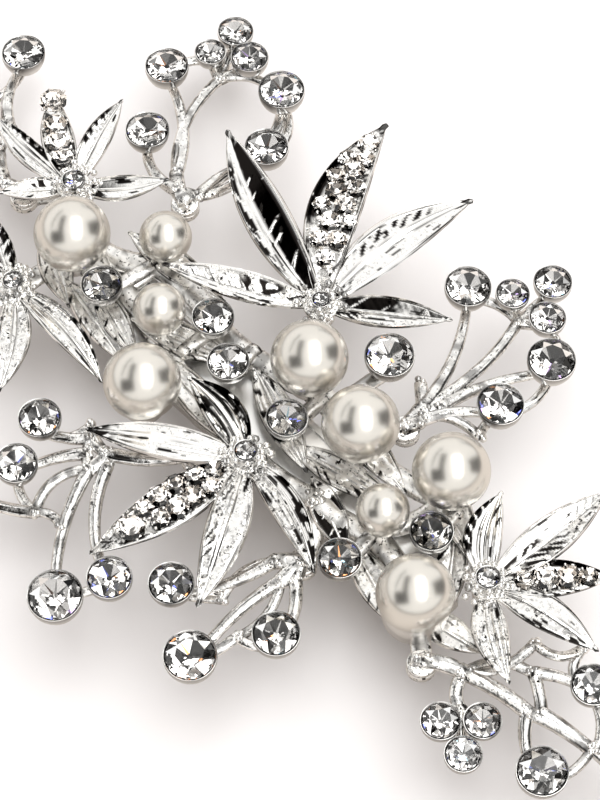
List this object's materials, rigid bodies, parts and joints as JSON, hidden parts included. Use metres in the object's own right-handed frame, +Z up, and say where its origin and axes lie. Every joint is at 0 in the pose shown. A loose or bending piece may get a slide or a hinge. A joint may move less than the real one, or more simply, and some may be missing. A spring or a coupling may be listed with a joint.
{
  "type": "leaf hairpin",
  "caption": "Silver-plated hairpin with cast leaf flowers, pearls and clear stones on slender sprays, over a flat barrette clip that grips the hair",
  "frame": {"origin": "on the surface it lies on, under the middle of its outline", "axes": "+X along the band, +Y across the band towards the tall leaves, +Z up from the surface"},
  "size_m": [0.1088, 0.067, 0.0177],
  "materials": {
    "silver": "bright silver plate over a fine cast grain",
    "clip_steel": "smooth silver plate",
    "pearl": "pearl coat over a moulded bead",
    "crystal": "clear cut glass with a foiled back"
  },
  "bodies": {
    "root": {"clasp": "clip_steel", "backbone": "silver", "flower_1": "silver", "flower_2": "silver", "flower_3": "silver", "flower_4": "silver", "flower_5": "silver", "spray_1": "silver", "spray_2": "silver", "spray_3": "silver", "spray_4": "silver", "spray_5": "silver", "spray_6": "silver", "pearl_1": "pearl", "pearl_2": "pearl", "pearl_3": "pearl", "pearl_4": "pearl", "pearl_5": "pearl", "pearl_6": "pearl", "pearl_7": "pearl", "pearl_8": "pearl", "pearl_9": "pearl", "stone_1": "crystal", "stone_2": "crystal", "stone_3": "crystal", "stone_4": "crystal", "stone_5": "crystal", "stone_6": "crystal", "stone_7": "crystal", "stone_8": "crystal", "stone_9": "crystal", "stone_10": "crystal", "stone_11": "crystal", "stone_12": "crystal", "stone_13": "crystal", "stone_14": "crystal", "stone_15": "crystal", "stone_16": "crystal", "stone_17": "crystal", "stone_18": "crystal", "stone_19": "crystal", "stone_20": "crystal", "stone_21": "crystal", "stone_22": "crystal", "stone_23": "crystal", "stone_24": "crystal", "stone_25": "crystal", "stone_26": "crystal", "stone_27": "crystal", "stone_28": "crystal", "stone_29": "crystal", "stone_30": "crystal", "stone_31": "crystal", "small_stones": "crystal", "centre_stones": "crystal"}
  },
  "joints": []
}
